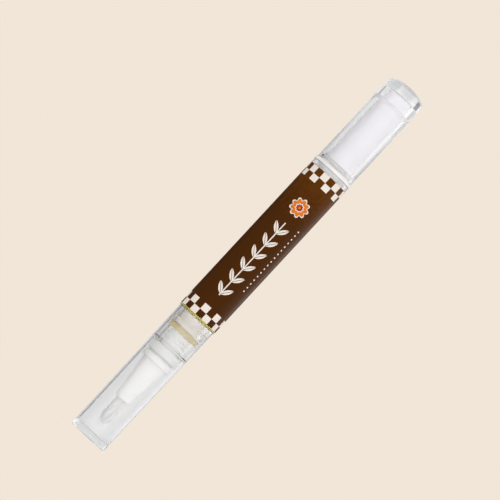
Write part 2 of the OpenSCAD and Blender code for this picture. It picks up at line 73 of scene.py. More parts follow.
pixel = camera_away * sensor_wide / lens_long / picture_wide
forward = Vector((0, math.cos(camera_low), math.sin(camera_low)))
along = Vector((0, -math.sin(camera_low), math.cos(camera_low)))
across = forward.cross(along)
camera_x = math.cos(roll) * along + math.sin(roll) * across
camera_y = math.sin(roll) * along - math.cos(roll) * across
place = pen_middle - forward * camera_away
place += (right_pixels * camera_x + up_pixels * camera_y) * pixel
aim = Matrix((camera_x, camera_y, -forward)).transposed().to_4x4()

bpy.ops.object.camera_add()
camera = bpy.context.object
camera.name = "camera"
camera.matrix_world = Matrix.Translation(place) @ aim
camera.data.lens = lens_long
camera.data.sensor_width = sensor_wide
camera.data.clip_start = 0.01
camera.data.clip_end = 20
scene = bpy.context.scene
scene.camera = camera
scene.view_settings.view_transform = "Standard"

# Clear walls inside clear walls need many bounces, or they go black
scene.cycles.max_bounces = 32
scene.cycles.transmission_bounces = 32
scene.cycles.glossy_bounces = 16
scene.cycles.diffuse_bounces = 12

# The tent's brightness by azimuth: 0.5 is straight behind the pen, 0.25 its left, 0.75 its right
tent = [
    (0.00, 2.35), (0.12, 2.03), (0.22, 1.04), (0.32, 0.87), (0.40, 0.86), (0.44, 0.86),
    (0.465, 0.66), (0.50, 0.67), (0.53, 0.76), (0.57, 0.85), (0.61, 1.06), (0.66, 1.12),
    (0.74, 1.50), (0.88, 2.22), (1.00, 2.35),
]
# Straight through clear plastic the tent's bright front is dim, so that the pen isn't
# blown out when it is seen from behind. It still lights the pieces inside
dim = 0.84
front_dim = [
    (0.00, dim), (0.14, dim), (0.22, 1.04), *tent[3:-2], (0.80, 1.15), (0.84, dim), (1.00, dim),
]
# The ramps hold shares of this strength. Towards its top and its bottom the tent is 1 weaker
brightest = 2.5
world = bpy.data.worlds.new("tent")
scene.world = world
world.use_nodes = True
tree = world.node_tree
tree.nodes.clear()


def feed(tree, socket, value):
    """Sets a socket to a number or a colour, or links another socket to it."""
    if isinstance(value, bpy.types.NodeSocket):
        tree.links.new(value, socket)
    elif isinstance(value, tuple):
        socket.default_value = (*value, 1)
    else:
        socket.default_value = value


def calc(tree, operation, *values):
    """Adds one Math node and gives its output."""
    step = tree.nodes.new("ShaderNodeMath")
    step.operation = operation
    for socket, value in zip(step.inputs, values):
        feed(tree, socket, value)
    return step.outputs[0]


def ramp(tree, factor, stops):
    """Adds a Color Ramp with (position, colour) stops. A colour is a grey level or a triple."""
    step = tree.nodes.new("ShaderNodeValToRGB")
    elements = step.color_ramp.elements
    while len(elements) < len(stops):
        elements.new(0.5)
    for element, (position, colour) in zip(elements, stops):
        colour = colour if isinstance(colour, tuple) else (colour,) * 3
        element.position = position
        element.color = (*colour, 1)
    feed(tree, step.inputs["Fac"], factor)
    return step.outputs["Color"]


def blend(tree, share, under, over):
    """Adds one Mix node: under where the share is 0, over where it is 1."""
    step = tree.nodes.new("ShaderNodeMix")
    step.data_type = "RGBA"
    feed(tree, step.inputs["Factor"], share)
    feed(tree, step.inputs["A"], under)
    feed(tree, step.inputs["B"], over)
    return step.outputs["Result"]


def blend_shaders(tree, share, under, over):
    """The same for two shaders."""
    step = tree.nodes.new("ShaderNodeMixShader")
    for socket, value in zip(step.inputs, (share, under, over)):
        feed(tree, socket, value)
    return step.outputs[0]


def coordinates(tree, kind):
    """The three coordinates of the point that is looked at."""
    where = tree.nodes.new("ShaderNodeTexCoord")
    split = tree.nodes.new("ShaderNodeSeparateXYZ")
    tree.links.new(where.outputs[kind], split.inputs[0])
    return split.outputs


x, y, z = coordinates(tree, "Generated")
azimuth = calc(tree, "ARCTAN2", x, y)
turn = calc(tree, "MULTIPLY_ADD", azimuth, 1 / (2 * math.pi), 0.5)
level = ramp(tree, turn, [(position, value / brightest) for position, value in tent])
through = ramp(tree, turn, [(position, value / brightest) for position, value in front_dim])
ray = tree.nodes.new("ShaderNodeLightPath")
bounced = calc(tree, "ADD", ray.outputs["Diffuse Depth"], ray.outputs["Glossy Depth"])
unbounced = calc(tree, "LESS_THAN", bounced, 0.5)
straight = calc(tree, "MULTIPLY", ray.outputs["Is Transmission Ray"], unbounced)
light = tree.nodes.new("ShaderNodeBackground")
feed(tree, light.inputs["Color"], blend(tree, straight, level, through))
steep = calc(tree, "ABSOLUTE", z)
feed(tree, light.inputs["Strength"], calc(tree, "SUBTRACT", brightest, steep))
paper = tree.nodes.new("ShaderNodeBackground")
feed(tree, paper.inputs["Color"], backdrop)
seen = blend_shaders(tree, ray.outputs["Is Camera Ray"], light.outputs[0], paper.outputs[0])
out = tree.nodes.new("ShaderNodeOutputWorld")
feed(tree, out.inputs["Surface"], seen)


def surface(name, colour, **finish):
    """A new material of one colour. The finish names sockets of its shader, with _ for a space."""
    paint = bpy.data.materials.new(name)
    paint.use_nodes = True
    shader = paint.node_tree.nodes["Principled BSDF"]
    shader.inputs["Base Color"].default_value = (*colour, 1)
    for socket, value in finish.items():
        shader.inputs[socket.replace("_", " ")].default_value = value
    return paint


# The floor is paper of the backdrop's colour: half of what the camera sees of it is its own glow,
# which hides its far edge, and half is light on it. It lies below the whole travel of the cap,
# which is pulled off downwards, so that the cap can be seen when it is off
slides = [joint for joint in frame["joints"] if joint["type"] == "slide"]
travel = {slide["name"]: slide["range_m"][1] for slide in slides}
floor_gap = 5 * mm
floor_wide = 8000 * mm
glow_share = 0.5
bpy.ops.mesh.primitive_plane_add(
    size=floor_wide, location=(0, 0, -travel["cap_pull"] - floor_gap)
)
floor = bpy.context.object
floor.name = "floor"
floor.visible_transmission = False
floor.visible_glossy = False
floor_paper = surface("floor_paper", (0.832, 0.745, 0.652), Roughness=1, Specular_IOR_Level=0)
tree = floor_paper.node_tree
lit = tree.nodes["Principled BSDF"].outputs[0]
glow = tree.nodes.new("ShaderNodeEmission")
feed(tree, glow.inputs["Color"], backdrop)
ray = tree.nodes.new("ShaderNodeLightPath")
glowing = calc(tree, "MULTIPLY", ray.outputs["Is Camera Ray"], glow_share)
feed(
    tree, tree.nodes["Material Output"].inputs["Surface"],
    blend_shaders(tree, glowing, lit, glow.outputs[0]),
)
floor.data.materials.append(floor_paper)
floor.select_set(False)


def card(name, low, high, wide, left, behind, level, mirrored=False):
    """An upright card that faces the pen, with its sizes and place in millimetres. It is seen
    only through clear plastic, or else only mirrored in a glossy surface."""
    bpy.ops.mesh.primitive_plane_add(size=mm)
    sheet = bpy.context.object
    sheet.name = name
    size = Matrix.Diagonal((wide, high - low, 1, 1))
    upright = Matrix.Rotation(math.pi / 2, 4, "X")
    facing = Matrix.Rotation(math.atan2(left, behind), 4, "Z")
    place = Matrix.Translation((-left * mm, behind * mm, (low + high) / 2 * mm))
    sheet.data.transform(place @ facing @ upright @ size)
    sheet.visible_camera = False
    sheet.visible_diffuse = False
    sheet.visible_shadow = False
    sheet.visible_transmission = not mirrored
    sheet.visible_glossy = mirrored
    sheet.data.materials.append(surface(
        name, (0.01, 0.01, 0.01),
        Emission_Color=(1, 1, 1, 1), Emission_Strength=level, Roughness=1,
    ))
    sheet.select_set(False)


# Cards that the camera sees only through clear pieces. The black ones give the cap its dark
# edge and the groove over the flange its two marks, and the grey ones tone the neck and the
# closed ends of cap and knob
card("cap_edge_card", low=1.3, high=43.4, wide=5.5, left=15.4, behind=10, level=0.02)
card("cap_end_card", low=0, high=2.7, wide=44, left=0, behind=12, level=0.62)
card("knob_end_card", low=121.5, high=127.3, wide=4.6, left=6.9, behind=14.4, level=0.15)
card("knob_side_card", low=118, high=128, wide=13, left=-8, behind=14.4, level=0.56)
card("neck_card", low=33.6, high=38.4, wide=8, left=-16.9, behind=10.4, level=0.66)
card("groove_card", low=96, high=104.5, wide=12, left=15.5, behind=4.1, level=0.01)
card("catch_card", low=96, high=104, wide=7, left=-15.5, behind=2.6, level=0.01)

# Cards that are only mirrored in the gloss: a black one gives the label its dark side, and
# two bright ones its sheen and its pale edge
card("label_card", low=48, high=100, wide=70, left=39, behind=45, level=0.05, mirrored=True)
card("sheen_card", low=48, high=100, wide=44, left=-60, behind=-5, level=4, mirrored=True)
card("limb_card", low=48, high=100, wide=30, left=-50, behind=32, level=4, mirrored=True)

# Barrel: an injection moulded tube of clear plastic with a narrow neck, a snap
# bead that holds the cap, and a wide shoulder. All other pieces are fixed in it
# or move on it.


def span(node):
    """Lowest and highest place of a CAD node along the pen, and its radius, in millimetres."""
    low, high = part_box(node)
    return round(low.z / mm, 3), round(high.z / mm, 3), round(high.x / mm, 3)


def rounded(corners):
    """Turns the corners of a section, in millimetres, into points along it, in metres."""
    steps = 5
    points = []
    for i, (r, z, *rounding) in enumerate(corners):
        here = Vector((r, z))
        if not rounding:
            points.append(here)
            continue
        soft = rounding[0]
        to_last = (Vector(corners[i - 1][:2]) - here).normalized()
        to_next = (Vector(corners[(i + 1) % len(corners)][:2]) - here).normalized()
        half = to_last.angle(to_next) / 2
        centre = here + (to_last + to_next).normalized() * (soft / math.sin(half))
        out_first = here + to_last * (soft / math.tan(half)) - centre
        out_last = here + to_next * (soft / math.tan(half)) - centre
        first = math.atan2(out_first.y, out_first.x)
        swing = math.remainder(math.atan2(out_last.y, out_last.x) - first, 2 * math.pi)
        for k in range(steps + 1):
            angle = first + swing * k / steps
            points.append(centre + soft * Vector((math.cos(angle), math.sin(angle))))
    return [Vector((p.x, 0, p.y)) * mm for p in points]


def turned(name, corners, steps=144):
    """Draws half of a round piece's section, edge by edge, and spins it about the pen's axis.
    Its corners are (radius, height, rounding), and a corner without a rounding stays sharp."""
    points = rounded(corners)
    hair = mm / 1000
    smooth_under = math.radians(35)
    bpy.ops.mesh.primitive_plane_add(size=mm)
    piece = bpy.context.object
    piece.name = name
    bpy.ops.object.mode_set(mode="EDIT")
    bpy.ops.mesh.merge(type="CENTER")
    bpy.ops.transform.translate(value=points[0])
    for a, b in zip(points, points[1:] + points[:1]):
        bpy.ops.mesh.extrude_region_move(TRANSFORM_OT_translate={"value": b - a})
    bpy.ops.mesh.select_all(action="SELECT")
    bpy.ops.mesh.remove_doubles(threshold=hair)
    bpy.ops.mesh.spin(steps=steps, angle=2 * math.pi, center=(0, 0, 0), axis=(0, 0, 1))
    bpy.ops.mesh.select_all(action="SELECT")
    bpy.ops.mesh.remove_doubles(threshold=hair)
    bpy.ops.mesh.normals_make_consistent(inside=False)
    bpy.ops.object.mode_set(mode="OBJECT")
    bpy.ops.object.shade_smooth_by_angle(angle=smooth_under)
    piece.select_set(False)
    return piece


def waves(tree, scale, detail):
    """Adds a Noise node that stays with the piece and gives its output. scale is waves a metre."""
    where = tree.nodes.new("ShaderNodeTexCoord")
    noise = tree.nodes.new("ShaderNodeTexNoise")
    noise.inputs["Scale"].default_value = scale
    noise.inputs["Detail"].default_value = detail
    tree.links.new(where.outputs["Object"], noise.inputs["Vector"])
    return noise.outputs["Fac"]


def emboss(tree, height, strength, deep):
    """Gives a material's shader a relief."""
    bump = tree.nodes.new("ShaderNodeBump")
    bump.inputs["Strength"].default_value = strength
    bump.inputs["Distance"].default_value = deep
    tree.links.new(height, bump.inputs["Height"])
    tree.links.new(bump.outputs["Normal"], tree.nodes["Principled BSDF"].inputs["Normal"])


def moulded(name, colour, rough, grain, relief, **finish):
    """A plastic with the faint waves of its mould. grain is their size in millimetres, and they
    make its roughness uneven and give it a relief."""
    paint = surface(name, colour, **finish)
    tree = paint.node_tree
    wave = waves(tree, scale=1 / (grain * mm), detail=3)
    uneven = 0.5
    roughness = calc(tree, "MULTIPLY_ADD", wave, rough * uneven, rough * (1 - uneven / 2))
    feed(tree, tree.nodes["Principled BSDF"].inputs["Roughness"], roughness)
    emboss(tree, wave, strength=relief, deep=0.02 * mm)
    return paint


# Pieces that stand on or fit in one another are a seam apart
seam = 0.02
neck_low, barrel_top, barrel_r = span("barrel")
shoulder = span("oil_fill")[0]
neck_r = 4.95
neck_bore_r = 3.8
bore_r = 4.8
# The bore is a little wider above the step that the nut stands on
seat_r = 4.9
nut_seat = span("screw_nut")[0] - seam
# The snap bead: its crown is flat for a short way, and its foot and crown are rounded
bead_r = 5.15
bead_z = shoulder - 3.2
bead_half = 1
bead_flat = 0.1
foot_round = 0.9
crown_round = 1.2
# The bore widens in a cone between these heights
throat_low = shoulder - 0.25
throat_high = shoulder + 0.6
barrel = turned("barrel_tube", [
    (neck_bore_r, neck_low, 0.12), (neck_r, neck_low, 0.25),
    (neck_r, bead_z - bead_half, foot_round), (bead_r, bead_z - bead_flat, crown_round),
    (bead_r, bead_z + bead_flat, crown_round), (neck_r, bead_z + bead_half, foot_round),
    (neck_r, shoulder), (barrel_r, shoulder, 0.02),
    (barrel_r, barrel_top, 0.02), (seat_r, barrel_top, 0.1), (seat_r, nut_seat), (bore_r, nut_seat),
    (bore_r, throat_high, 0.3), (neck_bore_r, throat_low, 0.3),
])
clear_barrel = moulded(
    "clear_barrel", (0.993, 0.991, 0.986), rough=0.14, grain=9, relief=0.03,
    Transmission_Weight=1, IOR=1.49,
)
barrel.data.materials.append(clear_barrel)
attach(barrel, "barrel_body")
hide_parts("barrel")

# Oil: it wets the barrel, so its skin lies a hair inside the wall and no air
# shows between them. A second, short slug is caught in the neck under a bubble,
# and a thin trace of oil clings to the bore round the bubble.

wetting = 0.03
oil_r = bore_r + wetting
neck_oil_r = neck_bore_r + wetting
oil_top = span("oil_fill")[1]
oil = turned("oil_column", [
    (0, throat_low), (neck_oil_r, throat_low), (oil_r, throat_high, 0.2), (oil_r, oil_top),
    (0, oil_top),
])

# The slug's top is hollow, with these depths at these radii, and lower on the pen's +X side
slug_low, slug_top, slug_r = span("oil_band")
hollow = 0.45
hollow_edge = 0.25
hollow_edge_r = 3.1
hollow_mid = 0.41
hollow_mid_r = 1.8
slug_tilt = 0.3
slug = turned("oil_slug", [
    (0, slug_low), (neck_oil_r, slug_low), (neck_oil_r, slug_top, 0.1),
    (hollow_edge_r, slug_top - hollow_edge, 0.5), (hollow_mid_r, slug_top - hollow_mid, 1),
    (0, slug_top - hollow),
])
for corner in slug.data.vertices:
    if corner.co.z > (slug_low + slug_top) / 2 * mm:
        corner.co.z -= slug_tilt * mm * (1 + corner.co.x / (slug_r * mm)) / 2
oil_yellow = moulded(
    "oil_yellow", (0.99, 0.83, 0.33), rough=0.06, grain=6, relief=0.02,
    Transmission_Weight=0.6, IOR=1.46,
)
tree = oil_yellow.node_tree
tint = tree.nodes.new("ShaderNodeVolumeAbsorption")
tint.inputs["Color"].default_value = (0.86, 0.76, 0.30, 1)
tint.inputs["Density"].default_value = 60
tree.links.new(tint.outputs[0], tree.nodes["Material Output"].inputs["Volume"])
oil_deep = moulded("oil_deep", (1, 0.82, 0.15), rough=0.06, grain=6, relief=0.02)
for piece, node, paint in (oil, "oil_fill", oil_deep), (slug, "oil_band", oil_yellow):
    piece.data.materials.append(paint)
    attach(piece, "barrel_body")
    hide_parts(node)
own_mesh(oil)

trace_r = neck_bore_r - 0.04
trace_low = slug_low + 1.2
wet_wall = turned("oil_wetting", [
    (trace_r, trace_low), (neck_oil_r, trace_low), (neck_oil_r, throat_low), (trace_r, throat_low),
])
oil_trace = moulded(
    "oil_trace", (0.90, 0.86, 0.81), rough=0.08, grain=4, relief=0.02,
    Transmission_Weight=1, IOR=1.46,
)
wet_wall.data.materials.append(oil_trace)
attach(wet_wall, "barrel_body")

# Label: a printed shrink film round the barrel, brown with two rows of cream
# checks at each end and a sprig with a blossom between them. Print is procedural.

film_low, film_high, film_r = span("label_film")
film_thick = 0.06
film_in_r = film_r - film_thick
film = turned("label_wrap", [
    (film_in_r, film_low), (film_r, film_low), (film_r, film_high), (film_in_r, film_high),
], steps=180)
cream = (0.655, 0.61, 0.57)
brown = (0.050, 0.0148, 0.0006)
orange = (0.55, 0.15, 0.014)
red = (0.30, 0.023, 0.008)
backing_white = (0.95, 0.95, 0.93)
print_film = surface("print_film", brown, Specular_IOR_Level=0.03)
tree = print_film.node_tree

# The print's own measures: millimetres along the pen, and degrees and millimetres round it
# from the line that faces the camera
x, y, z = coordinates(tree, "Object")
height = calc(tree, "DIVIDE", z, mm)
degrees = calc(
    tree, "MULTIPLY", calc(tree, "ARCTAN2", x, calc(tree, "MULTIPLY", y, -1)), 180 / math.pi
)
arc = calc(tree, "MULTIPLY", degrees, math.radians(film_r))


def both(tree, mask, other):
    """1 where two masks are 1, else 0."""
    return calc(tree, "MULTIPLY", mask, other)


def between(tree, value, low, high):
    """1 where a value lies between two limits, else 0."""
    above = calc(tree, "GREATER_THAN", value, low)
    return both(tree, above, calc(tree, "LESS_THAN", value, high))


def distance_squared(tree, across, up):
    """The square of the distance from a middle."""
    return calc(tree, "MULTIPLY_ADD", up, up, calc(tree, "MULTIPLY", across, across))


# Checks: a band of two rows at each end of the film, 18 squares to a row, the upper row a
# square further round
square = 20
row_tall = 1.9
band_tall = 4
two_turns = 720


def checks(tree, low, start):
    """1 on the cream squares of a band that starts at a height. start turns it, in degrees."""
    upper = calc(tree, "GREATER_THAN", height, low + row_tall)
    round_pen = calc(tree, "MULTIPLY_ADD", upper, square, degrees)
    # Two whole turns more keep it above nought, where a remainder isn't negative
    round_pen = calc(tree, "ADD", round_pen, two_turns - start)
    return calc(tree, "LESS_THAN", calc(tree, "MODULO", round_pen, 2 * square), square)


lower_checks = both(
    tree, calc(tree, "LESS_THAN", height, film_low + band_tall),
    checks(tree, film_low, start=8.5),
)
upper_checks = both(
    tree, calc(tree, "GREATER_THAN", height, film_high - band_tall),
    checks(tree, film_high - band_tall, start=5),
)

# Sprig: a stem with pairs of pointed leaves, each with a vein left brown
leaf_pitch = 4.4
leaf_pairs = 6
stem_low = film_low + 7.96
stem_half = 0.16
leaf_foot = 0.4
leaf_turn = math.radians(52)
leaf_half_long = 1.95
leaf_half_wide = 0.62
vein_half = 0.07
side = calc(tree, "ABSOLUTE", arc)
on_sprig = between(tree, height, stem_low, stem_low + leaf_pitch * leaf_pairs)
stem = both(tree, on_sprig, calc(tree, "LESS_THAN", side, stem_half))
in_pair = calc(tree, "MODULO", calc(tree, "SUBTRACT", height, stem_low), leaf_pitch)
up = calc(tree, "SUBTRACT", in_pair, leaf_foot)
leaf_along = calc(
    tree, "MULTIPLY_ADD", side, math.cos(leaf_turn),
    calc(tree, "MULTIPLY", up, math.sin(leaf_turn)),
)
leaf_across = calc(
    tree, "MULTIPLY_ADD", side, -math.sin(leaf_turn),
    calc(tree, "MULTIPLY", up, math.cos(leaf_turn)),
)
leaf_across = calc(tree, "ABSOLUTE", leaf_across)
from_middle = calc(tree, "SUBTRACT", leaf_along, leaf_half_long)
from_middle = calc(tree, "DIVIDE", from_middle, leaf_half_long)
narrowing = calc(tree, "SUBTRACT", 1, calc(tree, "MULTIPLY", from_middle, from_middle))
leaf_edge = calc(tree, "MULTIPLY", narrowing, leaf_half_wide)
leaf = both(tree, on_sprig, calc(tree, "LESS_THAN", leaf_across, leaf_edge))
leaf = both(tree, leaf, calc(tree, "GREATER_THAN", leaf_across, vein_half))
sprig = calc(tree, "MAXIMUM", stem, leaf)

# A row of dots beside the sprig. It starts a whole number of pitches up the pen, so that the
# remainder of the height gives the place in a pitch and no dot is cut
dot_pitch = 1.35
dot_r = 0.24
dot_side = 4.7
first_dot = 42
dot_count = 17
dot_up = calc(tree, "SUBTRACT", calc(tree, "MODULO", height, dot_pitch), dot_pitch / 2)
dot_across = calc(tree, "SUBTRACT", arc, dot_side)
in_dot = calc(tree, "LESS_THAN", distance_squared(tree, dot_across, dot_up), dot_r ** 2)
in_row = between(tree, height, first_dot * dot_pitch, (first_dot + dot_count) * dot_pitch)
dots = both(tree, in_dot, in_row)

# Blossom: rings about its middle, all cut into the same petals
bloom_z = film_high - 11.71
bloom_r = 2.85
petals = 9
petal_deep = 0.28
bloom_up = calc(tree, "SUBTRACT", height, bloom_z)
bloom_away = calc(tree, "SQRT", distance_squared(tree, arc, bloom_up))
bloom_turn = calc(tree, "ARCTAN2", arc, bloom_up)
petal = calc(tree, "COSINE", calc(tree, "MULTIPLY", bloom_turn, petals / 2))
petal = calc(tree, "MULTIPLY_ADD", calc(tree, "ABSOLUTE", petal), petal_deep, 1 - petal_deep)
bloom_share = calc(tree, "DIVIDE", calc(tree, "DIVIDE", bloom_away, bloom_r), petal)


def tinted(colour, share):
    """A colour made darker or lighter."""
    return tuple(c * share for c in colour)


# The brown is painted lighter towards the knob, a painted light gradient, and the print's grain
# mottles it
ink = waves(tree, scale=900, detail=4)
ink_share = 0.35
painted_light_fade = 0.8 / (film_high - film_low)
painted_light_share = calc(tree, "MULTIPLY_ADD", height, painted_light_fade, -painted_light_fade * film_low)
colour = ramp(tree, calc(tree, "MULTIPLY_ADD", ink, ink_share, painted_light_share), [
    (0.1, tinted(brown, 0.9)), (0.75, brown), (1, tinted(brown, 1.8)),
])
print_cream = calc(tree, "MAXIMUM", lower_checks, upper_checks)
print_cream = calc(tree, "MAXIMUM", print_cream, calc(tree, "MAXIMUM", sprig, dots))
colour = blend(tree, print_cream, colour, cream)
# The blossom's rings lie on one another, the widest first
for share, ring in (1, cream), (0.88, orange), (0.46, cream), (0.36, red), (0.14, orange):
    colour = blend(tree, calc(tree, "LESS_THAN", bloom_share, share), colour, ring)
# Inside the film's middle the print gives way to its white backing
out_r = calc(tree, "SQRT", distance_squared(tree, x, y))
backing = calc(tree, "LESS_THAN", out_r, (film_r - film_thick / 2) * mm)
colour = blend(tree, backing, colour, backing_white)
satin = 0.34
satin_swing = 0.12
shader = tree.nodes["Principled BSDF"]
feed(tree, shader.inputs["Base Color"], colour)
feed(tree, shader.inputs["Roughness"], calc(tree, "MULTIPLY_ADD", ink, satin_swing, satin))
emboss(tree, ink, strength=0.08, deep=0.01 * mm)
film.data.materials.append(print_film)
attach(film, "barrel_body")
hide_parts("label_film")

# Collar: a clear ring pressed into the barrel's top. Its flange shows, its stub
# snaps into the knob, and its journal ends in the teeth of a one-way ratchet.

spigot_low, crown_top, flange_r = span("collar")
knob_low, knob_top, knob_r = span("knob_shell")
teeth = 12
tooth_tall = 0.41
journal_top = crown_top - tooth_tall
journal_r = 3.7
collar_bore_r = 3.1
# The spigot is a press fit in the barrel, with a lead-in at its end
spigot_r = seat_r - seam
lead_in = 0.15
lead_in_long = 0.35
flange_low = barrel_top + seam
flange_high = flange_low + 1
# The stub's snap bead, whose crown is its second quarter
stub_r = 4.47
snap_r = 4.92
snap_wide = 0.8
snap_from_end = 0.45
snap_low = knob_low + snap_from_end
snap_high = snap_low + snap_wide
stub_top = snap_high + snap_from_end
collar = turned("collar_ring", [
    (collar_bore_r, spigot_low, 0.05), (spigot_r - lead_in, spigot_low, 0.15),
    (spigot_r, spigot_low + lead_in_long, 0.1), (spigot_r, flange_low, 0.03),
    (flange_r, flange_low, 0.03), (flange_r, flange_high, 0.2), (stub_r, flange_high, 0.04),
    (stub_r, snap_low, 0.05), (snap_r, snap_low + snap_wide / 4, 0.08),
    (snap_r, snap_low + snap_wide / 2, 0.08), (stub_r, snap_high, 0.05), (stub_r, stub_top, 0.02),
    (journal_r, stub_top, 0.05), (journal_r, journal_top), (collar_bore_r, journal_top),
])

# Teeth: the top ring of corners is raised in saw teeth, steep on one side
near = 0.01
for corner in collar.data.vertices:
    if corner.co.z > (journal_top - near) * mm:
        share = math.degrees(math.atan2(corner.co.y, corner.co.x)) * teeth / 360 + 0.5
        corner.co.z += tooth_tall * (1 - share % 1) * mm
clear_collar = moulded(
    "clear_collar", (0.95, 0.935, 0.94), rough=0.16, grain=5, relief=0.04,
    Transmission_Weight=0.38, IOR=1.5,
)
collar.data.materials.append(clear_collar)
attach(collar, "barrel_body")
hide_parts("collar")

# Neck plug: a soft, milky plug pressed into the neck. Its head seats the
# ferrule, and three barbed ribs on its stem seal the neck's bore.

plug_low, stem_top, plug_r = span("neck_plug")
cone_low, ferrule_top, cone_flange_r = span("brush_ferrule")
head_top = neck_low - seam
stem_r = 3.5
rib_r = 3.77
rib_wide = 0.5
rib_pitch = 1.06
first_rib = neck_low + 1.2
ferrule_spigot_r = 2.6
pocket_r = ferrule_spigot_r + seam
pocket_top = ferrule_top + 0.06
feed_r = 0.47
# Each rib rises over a fifth of its width and falls again from three fifths of it
ribs = []
for n in range(3):
    rib_low = first_rib + rib_pitch * n
    ribs += [
        (stem_r, rib_low, 0.03), (rib_r, rib_low + rib_wide * 0.2, 0.05),
        (rib_r, rib_low + rib_wide * 0.6, 0.05), (stem_r, rib_low + rib_wide, 0.05),
    ]
plug = turned("neck_stopper", [
    (pocket_r, plug_low, 0.08), (plug_r, plug_low, 0.4), (plug_r, head_top, 0.2),
    (stem_r, head_top, 0.06), *ribs, (stem_r, stem_top, 0.15), (feed_r, stem_top, 0.03),
    (feed_r, pocket_top), (pocket_r, pocket_top),
])
# The head is thin and lets light through, and the stem in its bore is milkier
for name, clearness in ("natural_plug", 0.4), ("natural_stem", 0.02):
    paint = moulded(
        name, (0.98, 0.975, 0.96), rough=0.42, grain=2.5, relief=0.15,
        Transmission_Weight=clearness, IOR=1.45,
    )
    plug.data.materials.append(paint)
for face in plug.data.polygons:
    if face.center.z > head_top * mm:
        face.material_index = 1
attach(plug, "barrel_body")
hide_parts("neck_plug")

# Ferrule: the frosted cone that holds the brush. It stands on a broad flange,
# and a thin waist below the plug's head leaves the dark line above the flange.

mouth_r = 2.4
socket_r = 1.84
socket_top = cone_low + 5
# The cone widens slowly up to a soft bend, and a little faster above it
bend_r = 3.36
bend_z = cone_low + 9.17
bend_round = 6
cone_r = 3.95
waist_r = 4
waist_top = plug_low - seam
cone_flange_top = waist_top - 0.45
cone_top = cone_flange_top - 1.9
ferrule = turned("brush_cone", [
    (socket_r, cone_low, 0.1), (mouth_r, cone_low, 0.28), (bend_r, bend_z, bend_round),
    (cone_r, cone_top, 0.15), (cone_flange_r, cone_top, 0.2),
    (cone_flange_r, cone_flange_top, 0.35), (waist_r, cone_flange_top, 0.05),
    (waist_r, waist_top, 0.03), (ferrule_spigot_r, waist_top),
    (ferrule_spigot_r, ferrule_top, 0.15), (feed_r, ferrule_top), (feed_r, socket_top),
    (socket_r, socket_top),
])
# Light spreads a little way inside white plastic, red light the farthest
glowing_white = {
    "Subsurface_Weight": 0.3, "Subsurface_Scale": 2 * mm, "Subsurface_Radius": (1, 0.95, 0.9),
}
frosted = moulded(
    "frosted_white", (0.77, 0.76, 0.755), rough=0.45, grain=1.2, relief=0.2, **glowing_white
)
ferrule.data.materials.append(frosted)
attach(ferrule, "barrel_body")
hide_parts("brush_ferrule")

# Feed tube: a thin natural tube from the plug down into the tuft, which leads
# the oil to the bristles.

tube_low, tube_top, tube_r = span("feed_tube")
tube_wall = 0.2
tube_in_r = tube_r - tube_wall
tube = turned("oil_feed_tube", [
    (tube_in_r, tube_low, 0.05), (tube_r, tube_low, 0.08), (tube_r, tube_top, 0.03),
    (tube_in_r, tube_top, 0.03),
], steps=48)
natural_tube = moulded(
    "natural_tube", (0.92, 0.93, 0.92), rough=0.3, grain=1, relief=0.1,
    Transmission_Weight=0.5, IOR=1.45,
)
tube.data.materials.append(natural_tube)
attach(tube, "barrel_body")
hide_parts("feed_tube")

# Tuft: soft grey nylon bristles, glued into the ferrule's socket round the feed
# tube. It swells to a belly and is cut on the slant. One bristle is modelled,
# and each copy gets its own place and length.

bristles = 480
bristle_r = 0.046
inner_r = 0.5
tuft_r = 1.74
tip_z = span("brush_bristles")[0]
root_z = socket_top - 0.4
belly_z = 8.9
# The tuft is widest at its belly. It draws in below it, as far down as this many times the way
# from the ferrule's mouth to the belly
narrowest = 1.6
swell_most = 0.045
# How far the slant and the rounded rim of the cut reach along the pen, and what is left to chance
slant = 0.8
round_off = 2.2
chance = 0.15
# A bristle's point has this share of its full thickness, which it reaches after this length
point_share = 0.55
point_long = 1.8
golden_turn = math.radians(137.508)
bpy.ops.mesh.primitive_cylinder_add(
    vertices=6, radius=bristle_r * mm, depth=mm, location=(0, 0, mm / 2), end_fill_type="TRIFAN",
)
bristle = bpy.context.object
bpy.ops.object.transform_apply(location=True)
bpy.ops.object.mode_set(mode="EDIT")
# Its long edges are cut, so that it can follow the belly
bpy.ops.mesh.select_mode(type="EDGE")
bpy.ops.mesh.select_all(action="DESELECT")
bpy.ops.object.mode_set(mode="OBJECT")
for edge in bristle.data.edges:
    a, b = (bristle.data.vertices[i].co for i in edge.vertices)
    edge.select = abs(a.z - b.z) > mm / 2
bpy.ops.object.mode_set(mode="EDIT")
bpy.ops.mesh.subdivide(number_cuts=6)
bpy.ops.mesh.select_mode(type="VERT")
bpy.ops.object.mode_set(mode="OBJECT")
random.seed(7)
copies = []
for n in range(bristles):
    angle = n * golden_turn
    away = inner_r + (tuft_r - inner_r) * math.sqrt((n + 0.5) / bristles)
    share = away / tuft_r
    low = max(0, round_off * share ** 3 - slant * share * math.cos(angle) / 2)
    low += tip_z + random.uniform(0, chance)
    copy = bristle.copy()
    copy.data = bristle.data.copy()
    bpy.context.collection.objects.link(copy)
    for corner in copy.data.vertices:
        up = low + (root_z - low) * corner.co.z / mm
        below_mouth = max(0, (cone_low - up) / (cone_low - belly_z))
        swell = 1 + swell_most * math.sin(min(below_mouth, narrowest) * math.pi / 2)
        thick = min(1, point_share + (1 - point_share) * (up - low) / point_long)
        corner.co = Vector((
            away * math.cos(angle) * swell + corner.co.x / mm * thick,
            away * math.sin(angle) * swell + corner.co.y / mm * thick,
            up,
        )) * mm
    copies.append(copy)
bpy.ops.object.select_all(action="DESELECT")
for copy in copies:
    copy.select_set(True)
bpy.context.view_layer.objects.active = copies[0]
bpy.ops.object.join()
tuft = bpy.context.object
tuft.name = "bristle_tuft"
bpy.ops.object.shade_smooth_by_angle(angle=math.radians(65))
bpy.data.objects.remove(bristle)
